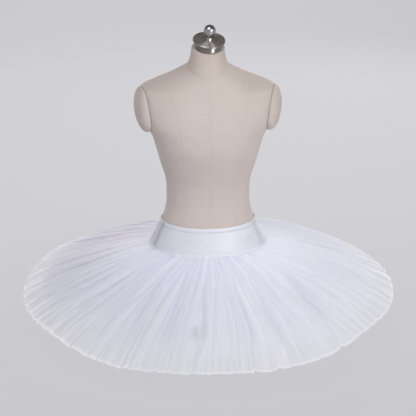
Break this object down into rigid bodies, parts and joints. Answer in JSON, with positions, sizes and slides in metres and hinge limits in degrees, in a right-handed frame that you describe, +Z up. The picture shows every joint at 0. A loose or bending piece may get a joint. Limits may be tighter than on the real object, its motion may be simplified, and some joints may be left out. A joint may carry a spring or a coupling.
{
  "type": "ballet tutu on a limbless tabletop dress form",
  "caption": "Flat pancake practice tutu with a fitted satin basque and stacked pleated net layers, worn by a limbless linen-covered tabletop dress form with a metal neck plate and ball knob.",
  "frame": {"origin": "centre of the dress form's flat underside, on the surface that it stands on", "axes": "+Z up through the form, -Y towards the wearer's front, +X towards the wearer's left"},
  "size_m": [1.0406, 1.0384, 0.8341],
  "materials": {
    "net": "stiff white tutu net, matt and see-through",
    "satin": "white stretch satin, soft sheen",
    "linen": "beige linen, matt plain weave",
    "steel": "dark steel turned and brushed in circles",
    "chrome": "polished chrome"
  },
  "bodies": {
    "root": {"form_torso": "linen", "form_cap_left": "linen", "form_cap_right": "linen", "neck_plate": "steel", "neck_knob": "chrome", "waistband": "satin", "basque_front": "satin", "basque_back": "satin", "hip_yoke": "satin", "net_layer_1": "net", "net_layer_2": "net", "net_layer_3": "net", "net_layer_4": "net", "net_layer_5": "net"}
  },
  "joints": []
}
